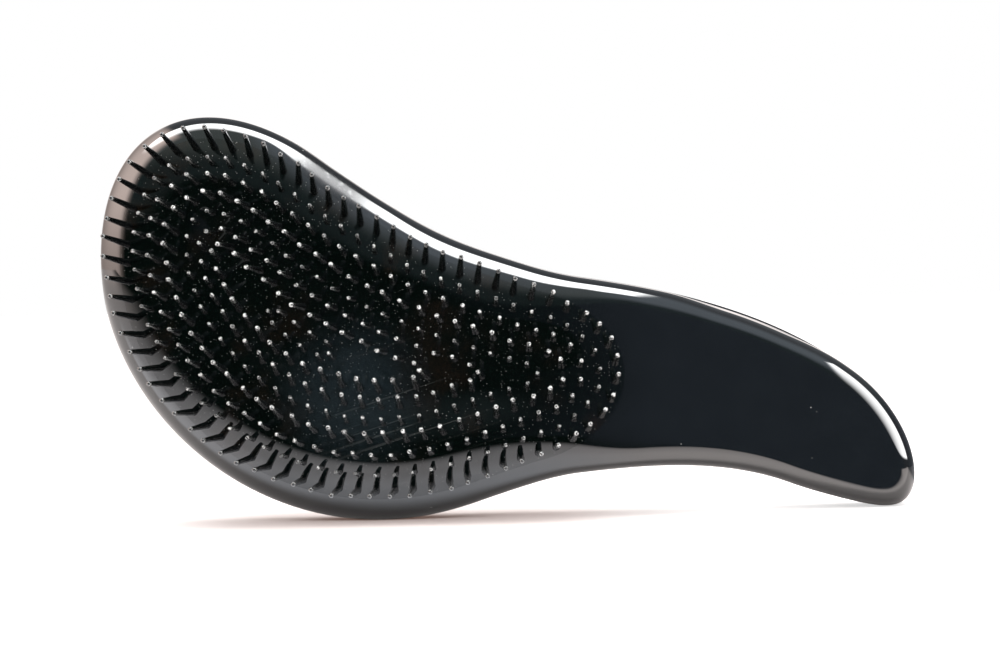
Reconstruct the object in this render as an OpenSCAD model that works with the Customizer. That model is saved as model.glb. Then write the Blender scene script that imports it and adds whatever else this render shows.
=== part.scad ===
// Detangling paddle hair brush: a hollow body of two shells with a bristle pad set flush in its face.
// It stands on its long edge. Millimetres, +Z up, bristles towards -Y, handle towards +X,
// origin on the floor under the middle of the box.

/* [Outline] */
// Length of the middle line, from the head's end to the handle's tip
spine_l = 199; // [185:1:215]
// Width of the head at its widest place
head_w = 70; // [62:1:80]
// Distance along the middle line from the head's end to its widest place
head_l = 59; // [50:1:66]
// Length over which the head narrows into the handle
shoulder_l = 60; // [50:1:70]
// Width at the neck, where the handle starts
neck_w = 43; // [38:1:48]
// Width that the handle tapers to at its tip, before the tip is rounded
tip_w = 22; // [18:1:28]
// Length of the rounded tip
tip_l = 25; // [18:1:32]

/* [Sweep of the middle line] */
// Downward slope of the middle line at the head's end, in degrees
head_slope = 61; // [50:1:66]
// Turn of the middle line inside the head, in degrees
head_turn = 60; // [50:1:66]
// Distance along the middle line where that turn starts
head_turn_from = 25; // [15:1:35]
// Length of that turn
head_turn_l = 70; // [60:1:80]
// Turn of the handle down to the tip, in degrees
handle_turn = 56; // [40:1:62]
// Distance along the middle line where the handle starts to turn
handle_turn_from = 105; // [95:1:115]
// Radius of the body's lengthwise arch, with its crown towards the bristles
arch_r = 550; // [400:10:900]
// Distance of the arch's crown from the head's end along X
arch_x = 75; // [60:1:95]

/* [Shells] */
// Wall of both shells
wall = 2; // [1.6:0.1:2.4]
// Depth of the front half, from the parting line to the face
front_d = 11; // [10:0.5:13]
// Depth of the dish in the middle of the face
dish_d = 1.2; // [0:0.1:1.6]
// Width of the rounded edge of the face on the head
head_roll_w = 15; // [12:0.5:17]
// Depth of that rounded edge
head_roll_d = 7; // [5:0.5:7.5]
// Width of the rounded edge of the face on the handle
handle_roll_w = 4.5; // [3.5:0.1:6]
// Depth of that rounded edge
handle_roll_d = 4.5; // [3:0.1:6]
// Straight side of the back shell, behind the parting line
back_side = 4; // [3:0.5:6]
// Depth of the back's dome on the head, behind the straight side
head_dome_d = 10; // [7:0.5:14]
// Depth of the back's dome on the handle
handle_dome_d = 7; // [5:0.5:10]
// Height of the lip with which the back shell laps into the front shell
lap_h = 1.5; // [1:0.1:1.8]
// Clearance between pieces that fit together
fit_gap = 0.1; // [0.05:0.01:0.2]

/* [Bristle pad] */
// Distance from the outline to the pad's edge
pad_margin = 5; // [4.2:0.1:6]
// Distance along the middle line from the head's end to the pad's end on the handle
pad_end = 128.5; // [118:0.5:140]
// Length of the pad's rounded end on the handle
pad_round_l = 17.5; // [14:0.5:26]
// Clearance round the pad in the front shell's window
pad_gap = 0.2; // [0.15:0.05:0.4]
// Width of the flange that holds the pad behind the front shell
flange_w = 1.8; // [1:0.1:2]
// Thickness of that flange
flange_t = 1.5; // [1:0.1:2]

/* [Bristles] */
// Rings of bristles, one inside the other
rings = 8; // [7:1:9]
// Distance from the pad's edge to the outer ring
ring_margin = 1.8; // [1.2:0.1:2.5]
// Pitch of the bristles along a ring
strand_pitch = 4.1; // [3.8:0.1:5]
// Length of the long bristles
long_l = 13.5; // [11:0.5:15]
// Length of the medium bristles
medium_l = 10.5; // [8:0.5:12]
// Length of the short bristles
short_l = 7.5; // [5:0.5:9]
// Diameter of a bristle at its root
root_d = 1.8; // [1.4:0.1:2]
// Diameter of a bristle at its tip
tip_d = 1; // [0.6:0.1:1.2]
// Share of the rounded edge's slope that the bristles on it lean outwards by
edge_lean = 0.55; // [0.4:0.05:1]
// Upward lean of all the bristles, in degrees
strand_lift = 7.5; // [0:0.5:9]

/* [Hidden] */

// How finely the curves are cut: places along the body, and angles round its edges in degrees
stations = 48;
face_steps = [0, 20, 40, 62, 90];
inner_steps = [0, 20, 50, 90];
flange_steps = [20, 50, 90];
dome_steps = [0, 15, 30, 48, 68];
core_steps = [0.5];
spine_n = 200;
pad_n = 36;
ring_n = 90;
strand_sides = 3;

// The core is the stretch of the middle line that all sections run in to
core_head_gap = 26;
core_tip_gap = 14;
// The edge of the face changes from the head's rounding to the handle's between these places along X
roll_from = 60;
roll_to = 105;
// The sweep leaves a small wave on the neck's upper side: between these places along X, each eased in
// over a length, a running mean along the outline takes it out
wave_from = 30;
wave_from_l = 12;
wave_to = 72;
wave_to_l = 14;
mean_l = 16;
// A ring of bristles is left off where it would be narrower than this share of the ring pitch
narrowest_ring = 0.9;
// How far a bristle's root is sunk into the pad
root_sink = 0.9;
// Step for measuring the slope of the face
slope_step = 0.2;
// Longer than the body is deep, for cutting prisms
reach = 2 * (front_d + head_dome_d + back_side);

neck_u = head_l + shoulder_l;
spine_step = spine_l / spine_n;
ring_pitch = (head_w / 2 - pad_margin - ring_margin) / (rings - 0.5);
lap_d = wall / 2;
body_black = [0.03, 0.03, 0.035];
bristle_black = [0.09, 0.09, 0.1];

function share(t) = max(0, min(1, t));
function ease(t) = let (c = share(t)) c * c * (3 - 2 * c);
function mix(a, b, t) = a + (b - a) * t;
function unit(v) = v / norm(v);
function round_end(t) = sqrt(max(0, 1 - t * t));

// Middle line: its slope is a rule, and its points are summed along it
function slope(u) = -head_slope
    + head_turn * ease((u - head_turn_from) / head_turn_l)
    - handle_turn * pow(share((u - handle_turn_from) / (spine_l - handle_turn_from)), 2);
spine_points = [
    for (k = 0, p = [0, 0];
         k <= spine_n;
         p = p + spine_step * [cos(slope((k + 0.5) * spine_step)), sin(slope((k + 0.5) * spine_step))],
         k = k + 1)
        p
];
function spine(u) =
    let (k = min(spine_n - 1, floor(max(0, u) / spine_step)))
    mix(spine_points[k], spine_points[k + 1], u / spine_step - k);
function across(u, v) = spine(u) + v * [-sin(slope(u)), cos(slope(u))];

// Half width of the body, and of any line that runs inside it by an inset
function taper(u) = mix(neck_w, tip_w, (u - neck_u) / (spine_l - neck_u)) / 2;
function half_width(u, inset, end_u, end_l) =
    let (w = u < head_l
        ? (head_w / 2 - inset) * round_end((head_l - u) / (head_l - inset))
        : mix(head_w / 2, taper(u), ease((u - head_l) / shoulder_l)) - inset)
    max(0, w) * round_end(max(0, (u - end_u) / end_l + 1));
// Stations crowd at both ends, so that the round ends are cut as finely as the sides
function stations_between(a, b, n) = [for (i = [0:n]) mix(a, b, (1 - cos(180 * i / n)) / 2)];
// A closed line inside the body: over the top from the head's end to end_u, and back below
function closed_line(inset, end_u, end_l, n, least = 0) =
    let (all_us = stations_between(inset, end_u, n),
         us = [for (u = all_us) if (half_width(u, inset, end_u, end_l) >= least) u],
         top = [for (u = us) across(u, half_width(u, inset, end_u, end_l))],
         low = [for (u = us) across(u, -half_width(u, inset, end_u, end_l))],
         last = len(us) - 1)
    least > 0
        ? concat(top, [for (i = [last:-1:0]) low[i]])
        : concat(top, [for (i = [last - 1:-1:1]) low[i]]);

// Lengths along a closed line
function step_l(line, i) = norm(line[(i + 1) % len(line)] - line[i % len(line)]);
function running_lengths(line) = [
    for (i = 0, s = 0; i <= len(line); s = s + step_l(line, i), i = i + 1) s
];

swept = closed_line(0, spine_l, tip_l, stations);
sides = len(swept);
swept_runs = running_lengths(swept);
function run_between(i, j) =
    let (run = abs(swept_runs[i] - swept_runs[j]))
    min(run, swept_runs[sides] - run);
function mean_about(i) =
    let (weights = [
             for (j = [0:sides - 1])
                 max(0, 1 - run_between(i, j) / mean_l) * (step_l(swept, j) + step_l(swept, j + sides - 1))
         ],
         whole = weights * [for (w = weights) 1])
    [weights * [for (p = swept) p[0]], weights * [for (p = swept) p[1]]] / whole;
function wave_share(x) = ease((x - wave_from) / wave_from_l) * (1 - ease((x - wave_to) / wave_to_l));
outline = [
    for (i = [0:sides - 1])
        i <= stations ? mix(swept[i], mean_about(i), wave_share(swept[i][0])) : swept[i]
];
core = [for (u = stations_between(core_head_gap, spine_l - core_tip_gap, stations)) spine(u)];
function core_at(i) = core[i <= stations ? i : sides - i];
ray_l = [for (i = [0:sides - 1]) norm(core_at(i) - outline[i])];
function along_ray(i, d) = mix(outline[i], core_at(i), d / ray_l[i]);

// Distance of a point inside the body from its outline
function to_edge(p, a, b) = norm(p - mix(a, b, share((p - a) * (b - a) / ((b - a) * (b - a)))));
function inset_of(p) = min([for (i = [0:sides - 1]) to_edge(p, outline[i], outline[(i + 1) % sides])]);

// Depth is counted from the parting line, forwards as plus; the arch bends everything
function arch(x) = pow(x - arch_x, 2) / (2 * arch_r);
function placed(p, depth) = [p[0], arch(p[0]) - depth, p[1]];
function to_handle(x) = ease((x - roll_from) / (roll_to - roll_from));
function roll_w(x) = mix(head_roll_w, handle_roll_w, to_handle(x));
function roll_d(x) = mix(head_roll_d, handle_roll_d, to_handle(x));
function dome_d(x) = mix(head_dome_d, handle_dome_d, to_handle(x));
function dish(x, d) = dish_d * ease((d - roll_w(x)) / (head_w / 2 - head_roll_w)) * (1 - to_handle(x));
function face_depth(x, d) =
    front_d - roll_d(x) * (1 - round_end(1 - min(1, d / roll_w(x)))) - dish(x, d);
// Slope of the face away from its edge, for the bristles' leans
function face_slope(x, d) =
    (face_depth(x, d + slope_step) - face_depth(x, d - slope_step)) / (2 * slope_step);

// Rings of points: along the face's rounded edge, and from there in to the core.
// A skin of zero is the outside; the inside rounds less where the lap needs the wall.
function roll_ring(angle, skin) = [
    for (i = [0:sides - 1])
        let (x = outline[i][0],
             depth = skin == 0 ? roll_d(x) : min(roll_d(x), front_d - skin - lap_h - 2 * fit_gap),
             p = along_ray(i, skin + (roll_w(x) - skin) * (1 - cos(angle))))
        placed(p, front_d - skin - depth * (1 - sin(angle)))
];
function face_ring(t, skin) = [
    for (i = [0:sides - 1])
        let (p = along_ray(i, mix(roll_w(outline[i][0]), ray_l[i], t)))
        placed(p, face_depth(p[0], inset_of(p)) - skin)
];
function face_core(skin) = [for (p = core) placed(p, face_depth(p[0], inset_of(p)) - skin)];
function dome_ring(angle, skin) = [
    for (i = [0:sides - 1])
        let (p = along_ray(i, skin + (ray_l[i] - skin) * (1 - cos(angle))))
        placed(p, -back_side - (dome_d(p[0]) - skin) * sin(angle))
];
function dome_core(skin) = [for (p = core) placed(p, -back_side - dome_d(p[0]) + skin)];
function rim_ring(d, depth) = [for (i = [0:sides - 1]) placed(along_ray(i, d), depth)];

function reversed(list) = [for (i = [len(list) - 1:-1:0]) list[i]];
// The face from its edge to its middle, as rings of one skin
function face_rings(skin, steps) = concat(
    [for (a = steps) roll_ring(a, skin)],
    [for (t = core_steps) face_ring(t, skin)]);
function deeper(points, by) = [for (p = points) p + [0, by, 0]];
// The front shell's inner skin, moved back by a distance, from its middle to its edge
function behind_wall(steps, by) = [for (ring = reversed(face_rings(wall, steps))) deeper(ring, by)];

// Two triangles over four corners in order, parted along the shorter diagonal
function two_triangles(points, a, b, c, d) =
    norm(points[a] - points[c]) <= norm(points[b] - points[d])
        ? [[a, b, c], [a, c, d]]
        : [[a, b, d], [b, c, d]];

// A closed solid skinned over rings of points, from its rear skin forwards, closed along the core
module skinned(first_core, ring_list, last_core) {
    points = concat(first_core, [for (ring = ring_list) each ring], last_core);
    base = len(first_core);
    end_r = len(ring_list) - 1;
    last = base + len(ring_list) * sides;
    function core_index(i, start) = let (k = i % sides) start + (k <= stations ? k : sides - k);
    function at(r, i) = base + r * sides + i % sides;
    strips = [
        for (r = [0:end_r - 1], i = [0:sides - 1])
            each two_triangles(points, at(r, i), at(r, i + 1), at(r + 1, i + 1), at(r + 1, i))
    ];
    caps = [
        for (i = [0:sides - 1])
            each concat(
                two_triangles(points, core_index(i, 0), core_index(i + 1, 0), at(0, i + 1), at(0, i)),
                two_triangles(
                    points, at(end_r, i), at(end_r, i + 1), core_index(i + 1, last), core_index(i, last)))
    ];
    polyhedron(points, concat(strips, caps));
}

// A prism along Y over a closed line, through the whole body
module prism(line) {
    translate([0, reach, 0])
        rotate([90, 0, 0])
            linear_extrude(2 * reach)
                polygon(line);
}

module pad_prism(margin) {
    prism(closed_line(margin, pad_end + pad_margin - margin, pad_round_l, pad_n));
}

// The bristles' places: rings inset from the pad's edge, each cut into equal steps
function ring_line(k) =
    let (inset = pad_margin + ring_margin + k * ring_pitch,
         back = ring_margin + k * ring_pitch)
    closed_line(inset, pad_end - back, max(1, pad_round_l - back), ring_n, narrowest_ring * ring_pitch / 2);
function place_on(line, runs, s) =
    let (i = max([for (k = [0:len(runs) - 2]) if (runs[k] <= s) k]),
         a = line[i],
         b = line[(i + 1) % len(line)],
         t = (s - runs[i]) / (runs[i + 1] - runs[i]))
    [mix(a, b, t), unit([(b - a)[1], -(b - a)[0]])];
// One strand: its root, its direction and its length
function strand(place, l) =
    let (p = place[0],
         inward = place[1],
         d = inset_of(p),
         square = face_slope(p[0], d),
         lean = square > 0 ? square * edge_lean : square)
    [placed(p, face_depth(p[0], d)),
     unit([(p[0] - arch_x) / arch_r - lean * inward[0], -1, tan(strand_lift) - lean * inward[1]]),
     l];
lengths = [long_l, short_l, medium_l];
strands = [
    for (k = [0:rings - 1])
        let (line = ring_line(k),
             runs = running_lengths(line),
             total = runs[len(runs) - 1],
             n = max(2, round(total / strand_pitch)))
        for (j = [0:n - 1])
            strand(place_on(line, runs, total * (j + (k % 2) / 2) / n), lengths[k % 3])
];
tips = [for (s = strands) s[0] + s[1] * s[2]];

// The strands: tapered, with few sides, and sunk a little into the pad
module strand_field() {
    for (s = strands)
        let (turn = acos(s[1][2]), heading = atan2(s[1][1], s[1][0]))
            translate(s[0] - s[1] * root_sink)
                rotate([0, turn, heading])
                    cylinder(h = s[2] + root_sink, d1 = root_d, d2 = tip_d, $fn = strand_sides);
}

// Everything is drawn about the middle of the box, with the lower edge on the floor
box_xs = concat([for (p = outline) p[0]], [for (p = tips) p[0] - tip_d / 2]);
box_ys = concat([for (p = core) arch(p[0]) + back_side + dome_d(p[0])], [for (p = tips) p[1]]);
floor_z = min([for (p = outline) p[1]]);
function middle(list) = (min(list) + max(list)) / 2;
module on_floor() {
    translate([-middle(box_xs), -middle(box_ys), -floor_z])
        children();
}

// A resize to nothing keeps every size: it turns what it holds into one mesh
module front_shell() {
    color(body_black)
        on_floor()
            resize([0, 0, 0])
                difference() {
                    skinned(
                        face_core(wall),
                        concat(
                            reversed(face_rings(wall, inner_steps)),
                            [rim_ring(wall, lap_h + fit_gap),
                             rim_ring(lap_d - fit_gap / 2, lap_h + fit_gap),
                             rim_ring(lap_d - fit_gap / 2, fit_gap / 2),
                             rim_ring(0, fit_gap / 2)],
                            face_rings(0, face_steps)),
                        face_core(0));
                    pad_prism(pad_margin);
                }
}

module back_shell() {
    color(body_black)
        on_floor()
            skinned(
                dome_core(0),
                concat(
                    [for (a = reversed(dome_steps)) dome_ring(a, 0)],
                    [rim_ring(0, -fit_gap / 2),
                     rim_ring(lap_d + fit_gap / 2, -fit_gap / 2),
                     rim_ring(lap_d + fit_gap / 2, lap_h),
                     rim_ring(wall, lap_h)],
                    [for (a = dome_steps) dome_ring(a, wall)]),
                dome_core(wall));
}

// The pad fills the window flush with the face, and its flange seats behind the front shell.
// The plug that fills the window ends half way down the flange.
module bristle_pad() {
    plug_end = fit_gap + flange_t / 2;
    flange_end = fit_gap + flange_t;
    color(bristle_black)
        on_floor()
            resize([0, 0, 0]) {
                intersection() {
                    skinned(
                        deeper(face_core(wall), plug_end),
                        concat(behind_wall([90], plug_end), face_rings(0, face_steps)),
                        face_core(0));
                    pad_prism(pad_margin + pad_gap);
                }
                intersection() {
                    skinned(
                        deeper(face_core(wall), flange_end),
                        concat(
                            behind_wall(flange_steps, flange_end),
                            reversed(behind_wall(flange_steps, fit_gap))),
                        deeper(face_core(wall), fit_gap));
                    pad_prism(pad_margin - flange_w);
                }
                strand_field();
            }
}

front_shell();
back_shell();
bristle_pad();
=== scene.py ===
"""A detangling paddle brush on its long edge: two gloss shells and a pad of tapered bristles."""

import math
import random

import bmesh
import bpy
import numpy as np
from bpy.props import FloatProperty, FloatVectorProperty, IntProperty, PointerProperty
from mathutils import Matrix, Vector
from mathutils.bvhtree import BVHTree


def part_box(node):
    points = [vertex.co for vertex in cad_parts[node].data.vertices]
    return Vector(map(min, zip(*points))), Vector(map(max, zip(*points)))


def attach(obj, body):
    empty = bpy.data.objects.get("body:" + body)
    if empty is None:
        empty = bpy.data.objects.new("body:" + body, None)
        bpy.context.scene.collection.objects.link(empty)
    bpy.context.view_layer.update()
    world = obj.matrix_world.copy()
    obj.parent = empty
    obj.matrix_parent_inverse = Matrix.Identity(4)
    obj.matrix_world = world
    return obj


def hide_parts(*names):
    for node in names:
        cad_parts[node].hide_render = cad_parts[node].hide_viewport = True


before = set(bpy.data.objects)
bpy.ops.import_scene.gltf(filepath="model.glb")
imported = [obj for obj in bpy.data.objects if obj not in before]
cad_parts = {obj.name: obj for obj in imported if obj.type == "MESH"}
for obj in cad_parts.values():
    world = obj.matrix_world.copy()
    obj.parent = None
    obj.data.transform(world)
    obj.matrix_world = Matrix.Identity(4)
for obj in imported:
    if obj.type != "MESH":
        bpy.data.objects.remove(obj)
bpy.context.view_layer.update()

bl_info = {
    "name": "Paddle brush",
    "version": (1, 0, 0),
    "blender": (4, 5, 0),
    "location": "View3D > Sidebar > Paddle brush",
    "description": "Dresses the shells and the bristle pad of a detangling brush",
    "category": "Add Mesh",
}

MM = 0.001
BODY = "root"

# How finely the pieces are cut
SPINE_STEPS = 2000
STATIONS = 200
ROLL_STEPS = 18
FACE_STEPS = 12
DOME_STEPS = 22
SIDE_STEPS = 2
WINDOW_STATIONS = 140
RING_STATIONS = 90
BRISTLE_SIDES = 8

# Least and greatest paleness of the bristles' tips in the outer ring, the next one and the others: the
# outer rings' darker ranges are painted shade, and within a range the paleness is random
TIP_TONES_AND_PAINTED_LIGHT = [(0, 0.22), (0.34, 0.7), (0.45, 1)]

# A bristle's ball in shares of its radius: the neck's depth under its top, then rows of depth and radius
BALL_NECK = 2.2
BALL_ROWS = [(1.3, 1), (0.6, 0.9), (0.12, 0.45)]

# Modelling: radius of a circle whose points aren't placed yet, weld, sharp angle, reach for normals
START_R = 50 * MM
WELD = 0.0001 * MM
SHARP = math.radians(35)
NORMAL_REACH = 0.005 * MM
FORWARD = Vector((0, -1, 0))
BACKWARD = Vector((0, 1, 0))

# Stands in for 0 where a slope is divided by it
NOT_ZERO = 1e-7


def length(label, text, size):
    """A length property, given in millimetres."""
    size = size * MM
    return FloatProperty(name=label, description=text, default=size, unit="LENGTH", subtype="DISTANCE")


def angle(label, text, degrees):
    """An angle property, given in degrees."""
    turn = math.radians(degrees)
    return FloatProperty(name=label, description=text, default=turn, subtype="ANGLE")


def colour(label, text, rgb):
    """A colour property, in linear light."""
    return FloatVectorProperty(
        name=label, description=text, default=rgb, size=3, subtype="COLOR", min=0, max=1)


def place_at(label, text, at):
    """A place property, given in millimetres."""
    at = [c * MM for c in at]
    return FloatVectorProperty(name=label, description=text, default=at, subtype="XYZ", unit="LENGTH")


def amount(label, text, value):
    """A property for a share."""
    return FloatProperty(name=label, description=text, default=value, subtype="FACTOR", min=0, max=1)


class BodySizes(bpy.types.PropertyGroup):
    """Sizes of the two shells."""

    spine_l: length("Middle line", "Length from the head's end to the handle's tip", 199)
    head_w: length("Head width", "Greatest width of the head", 70)
    head_l: length("Head length", "From the head's end to its widest place", 59)
    shoulder_l: length("Shoulder", "Length of the taper from head to handle", 60)
    neck_w: length("Neck width", "Width where the handle starts", 43)
    tip_w: length("Tip width", "Width that the handle tapers to", 22)
    tip_l: length("Tip length", "Length of the rounded tip", 25)
    head_slope: angle("Head slope", "Slope of the middle line at the head's end", 61)
    head_turn: angle("Head turn", "Turn of the middle line inside the head", 60)
    head_turn_from: length("Head turn from", "Where that turn starts", 25)
    head_turn_l: length("Head turn length", "Length of that turn", 70)
    handle_turn: angle("Handle turn", "Turn of the handle down to the tip", 56)
    handle_turn_from: length("Handle turn from", "Where the handle starts to turn", 105)
    arch_r: length("Arch radius", "Radius of the lengthwise arch", 550)
    arch_x: length("Arch crown", "From the head's end to the arch's crown", 75)
    wall: length("Wall", "Wall of both shells", 2)
    front_d: length("Front depth", "From the parting line to the face", 11)
    dish_d: length("Dish", "Depth of the dish in the middle of the face", 1.2)
    head_roll_w: length("Head edge width", "Width of the rounded edge on the head", 15)
    head_roll_d: length("Head edge depth", "Depth of that rounded edge", 7)
    handle_roll_w: length("Handle edge width", "Width of the rounded edge on the handle", 4.5)
    handle_roll_d: length("Handle edge depth", "Depth of that rounded edge", 4.5)
    back_side: length("Back side", "Straight side of the back shell", 4)
    head_dome_d: length("Head dome", "Depth of the back's dome on the head", 10)
    handle_dome_d: length("Handle dome", "Depth of the back's dome on the handle", 7)
    parting: length("Parting gap", "Gap between the two shells", 0.1)
    parting_break: length("Parting break", "Edge break along the parting line", 0.22)
    core_head_gap: length("Core start", "From the head's end to the core", 26)
    core_tip_gap: length("Core end", "From the core to the handle's tip", 14)
    roll_from: length("Edge change from", "Where the head's rounded edge starts to change", 60)
    roll_to: length("Edge change to", "Where it is the handle's", 105)
    wave_from: length("Neck mean from", "Where the mean on the neck's top starts", 30)
    wave_from_l: length("Neck mean start", "Length over which it is eased in", 12)
    wave_to: length("Neck mean to", "Where it ends", 72)
    wave_to_l: length("Neck mean end", "Length over which it is eased out", 14)
    mean_l: length("Neck mean reach", "How far the mean reaches to either side", 16)
    skin_inset: length("Skin inset", "How far the skin stays inside the outline", 0.05)
    draft_step: length("Draft step", "Step in from the back shell to the front one on the handle", 0.2)
    draft_w: length("Draft", "Slant of the front shell's side there", 0.45)
    draft_from: length("Draft from", "Where that slant starts", 111)
    draft_to: length("Draft to", "Where it ends", 150)
    draft_l: length("Draft ease", "Length over which it is eased in and out", 14)
    back_trim: length("Back trim", "How far the back stays inside its depth", 0.25)


class PadSizes(bpy.types.PropertyGroup):
    """Sizes of the pad and its bristles."""

    margin: length("Pad margin", "From the outline to the pad's edge", 5)
    end: length("Pad end", "From the head's end to the pad's end on the handle", 128.5)
    round_l: length("Pad end rounding", "Length of the pad's rounded end", 17.5)
    seam: length("Seam", "Hairline between the pad and its window", 0.02)
    thickness: length("Pad thickness", "Depth of the pad behind the face", 2.85)
    ring_margin: length("Ring margin", "From the pad's edge to the outer ring of bristles", 1.8)
    pitch: length("Pitch", "Pitch of the bristles along a ring", 4.1)
    long_l: length("Long bristle", "Length of the long bristles", 13.5)
    medium_l: length("Medium bristle", "Length of the medium bristles", 10.5)
    short_l: length("Short bristle", "Length of the short bristles", 7.5)
    root_d: length("Root", "Diameter of a bristle at its root", 1.65)
    neck_d: length("Neck", "Diameter of a bristle under its ball tip", 1.0)
    tip_d: length("Tip", "Diameter of a bristle's ball tip", 1.08)
    edge_lean: amount("Edge lean", "Outward lean, as a share of the edge's slope", 0.55)
    slim: amount("Slim", "Short bristles' thickness, as a share", 0.82)
    fillet: length("Root fillet", "Flare of a bristle where it meets the pad", 0.12)
    root_sink: length("Root sink", "How far a bristle's root is sunk into the pad", 0.9)
    # The paler stripes on this smoky end are painted highlights.
    smoke_l: length("Smoky end", "Length of the paler, smoky end of a bristle", 6)
    lift: angle("Lift", "Upward lean of all the bristles", 7.5)
    rings: IntProperty(name="Rings", description="Rings of bristles, one inside the other", default=8)
    narrowest: amount("Narrowest ring", "Least width of a ring, as a share of the ring pitch", 0.9)
    # Painted light: the outer ring's tips turn paler towards the handle's end.
    end_painted_light: amount("End paleness", "How much paler the outer tips are there", 0.5)
    end_painted_light_from: length("End paleness from", "Where the outer ring's tips turn paler", 74)
    end_l: length("End paleness length", "Length over which they turn paler", 14)
    stray: angle("Stray", "Largest stray lean of a bristle", 1.5)
    seed: IntProperty(name="Seed", description="Start of the stray leans", default=7)


class Finishes(bpy.types.PropertyGroup):
    """Colours and gloss of the pieces and the stage."""

    shell_black: colour("Shell black", "Body colour of the shells", (0.0015, 0.0018, 0.0022))
    shell_blue: colour("Shell blue", "Bluish clouds in the shells' black", (0.004, 0.005, 0.006))
    pad_black: colour("Pad black", "Body colour of the pad", (0.0004, 0.0012, 0.0009))
    pad_brown: colour("Pad brown", "Brownish clouds in the pad's black", (0.0055, 0.0034, 0.0022))
    # A painted reflection: a bluish, paler patch painted low on the pad's black.
    pad_painted_reflection: colour("Pad haze", "Bluish haze low on the pad", (0.012, 0.018, 0.022))
    shaft_black: colour("Bristle black", "Colour of a bristle's shaft", (0.004, 0.005, 0.005))
    # These stripes are painted highlights along every other side of a bristle's smoky end.
    smoke_and_highlight_grey: colour("Smoke", "Colour of the streaks on a bristle's smoky end", (0.36, 0.375, 0.365))
    # Between these two a tip's paleness is partly random and partly painted shade and light, by ring and
    # place.
    tip_grey: colour("Tip grey", "Colour of the darkest ball tips", (0.3, 0.3, 0.29))
    tip_white: colour("Tip white", "Colour of the palest ball tips", (0.8, 0.8, 0.79))
    # Also the colour of the pale streaks painted on the pad as reflections of other bristles.
    dust_and_reflection_grey: colour("Dust", "Colour of dust specks", (0.3, 0.3, 0.29))
    floor_white: colour("Floor", "Colour of the floor", (0.92, 0.86, 0.84))
    gloss: amount("Gloss", "Roughness of the polished shells", 0.035)
    smudge_place: place_at("Smudge", "Middle of the smudge on the neck", (-39, -4, 73.5))
    smudge_r: length("Smudge size", "Radius of that smudge", 14)
    # Place and size of the painted reflection on the pad.
    painted_reflection_place: place_at("Painted_reflection", "Middle of the haze on the pad", (-34, -9, 28))
    painted_reflection_r: length("Haze size", "Radius of that haze", 20)
    # Slope, place and reach of the pale streaks painted on the pad as reflections of other bristles.
    painted_streak_lean: angle("Hairline lean", "Slope of the hairlines on the pad", 17)
    painted_streak_place: place_at("Painted_streaks", "Middle of the hairlines", (-20, -9, 20))
    painted_streak_r: length("Hairlines' reach", "Radius of the place that holds them", 26)


class StageSizes(bpy.types.PropertyGroup):
    """Places of the camera and the floor, and how far the floor's gloss reaches."""

    view_w: length("View width", "Width that the camera sees at the brush", 220.7)
    camera_far: length("Camera distance", "From the camera to the brush", 850)
    camera_rise: angle("Camera rise", "Height of the camera above the horizon", 1.5)
    camera_roll: angle("Camera roll", "Turn of the camera about its own axis", 1.4)
    aim: place_at("Aim", "Place that the camera looks at", (-1.5, 3, 40.3))
    floor_w: length("Floor width", "Width of the floor", 4000)
    floor_near: length("Floor near", "How far the floor reaches towards the camera", 500)
    gloss_near: length("Gloss near", "How far ahead the gloss shows the floor", 95)
    gloss_tip: length("Gloss near at the tip", "The same at the handle's tip", 25)
    contact_x: length("Contact", "Where the head rests on the floor", -25)
    floor_far: length("Floor far", "How far the floor reaches behind the brush", 2500)


def ease(t):
    """A smooth step from 0 to 1."""
    t = np.clip(t, 0, 1)
    return t * t * (3 - 2 * t)


def ease_slope(t):
    """The slope of that step."""
    return 6 * t * (1 - t)


def mix(a, b, t):
    """The value between a and b at share t."""
    return a + (b - a) * t


def round_end(t):
    """The height of a quarter circle at t."""
    return np.sqrt(np.maximum(0, 1 - t * t))


def crowded(a, b, count):
    """Places from a to b that crowd at both ends."""
    return mix(a, b, (1 - np.cos(np.linspace(0, math.pi, count + 1))) / 2)


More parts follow.
